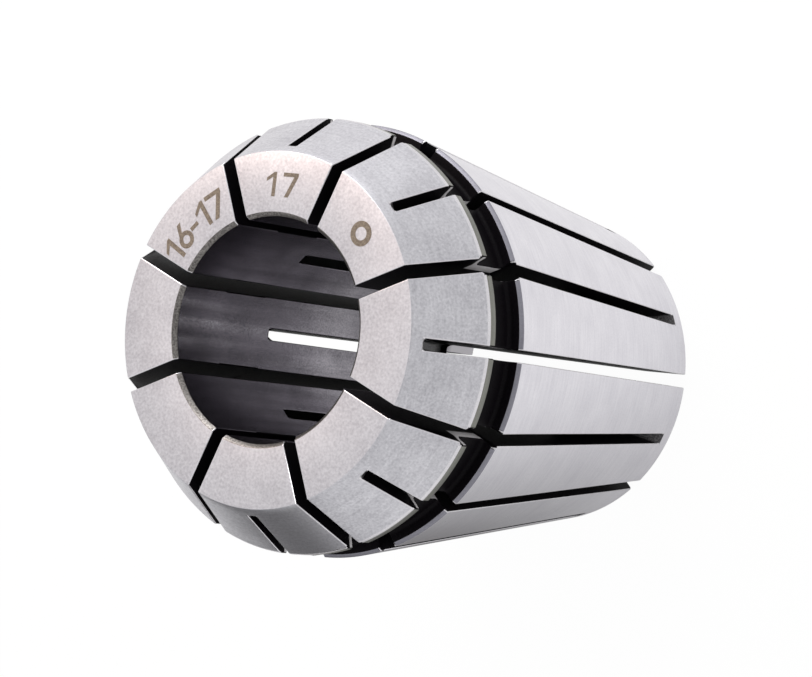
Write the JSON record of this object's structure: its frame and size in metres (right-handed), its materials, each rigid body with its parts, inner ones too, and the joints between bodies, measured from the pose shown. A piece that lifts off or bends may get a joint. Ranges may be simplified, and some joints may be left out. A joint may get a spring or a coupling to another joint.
{
  "type": "er collet",
  "caption": "One-piece steel spring collet: plain through bore, slotted fingers, short steep clamping nose, extraction groove and long shallow seating taper.",
  "frame": {"origin": "centre of the small end's face, on the collet's axis; the collet stands on that end", "axes": "+Z along the axis from the small end to the clamping nose; +X through the middle of a saw cut that is open at the small end"},
  "size_m": [0.0332, 0.0332, 0.04],
  "materials": {
    "ground_steel": "hardened spring steel, fine ground on the bore, face, cones and taper, dark heat-treatment scale in the saw cuts and the groove"
  },
  "bodies": {
    "root": {"collet": "ground_steel"}
  },
  "joints": []
}
